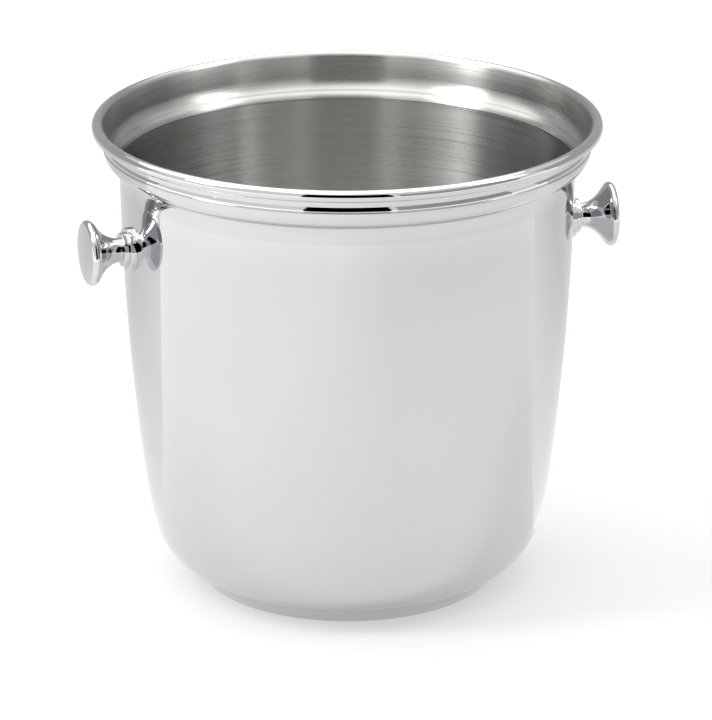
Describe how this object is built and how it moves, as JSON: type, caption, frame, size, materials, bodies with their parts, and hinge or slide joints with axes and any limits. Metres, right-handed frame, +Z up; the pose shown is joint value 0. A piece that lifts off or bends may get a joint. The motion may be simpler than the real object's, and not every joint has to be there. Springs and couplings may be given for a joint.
{
  "type": "champagne bucket",
  "caption": "Round polished steel champagne bucket with a moulded and rolled rim, a foot ring and mushroom-shaped side knobs, open at the top to hold a bottle in ice.",
  "frame": {"origin": "centre of the foot ring's underside, on the surface that the bucket stands on", "axes": "+Z up along the vessel's axis, +X towards the right-hand knob, -Y towards the side that the knobs lean to"},
  "size_m": [0.2378, 0.22, 0.2078],
  "materials": {
    "polished_steel": "mirror-polished stainless steel outside; the inside of the vessel is brushed round to a satin",
    "satin_steel": "plain satin stainless steel",
    "gasket_rubber": "matt black nitrile rubber"
  },
  "bodies": {
    "root": {"bucket_shell": "polished_steel", "foot_ring": "polished_steel", "left_knob": "polished_steel", "left_collar": "polished_steel", "left_gasket": "gasket_rubber", "left_washer": "satin_steel", "left_lock_washer": "satin_steel", "left_screw": "satin_steel", "right_knob": "polished_steel", "right_collar": "polished_steel", "right_gasket": "gasket_rubber", "right_washer": "satin_steel", "right_lock_washer": "satin_steel", "right_screw": "satin_steel"}
  },
  "joints": []
}
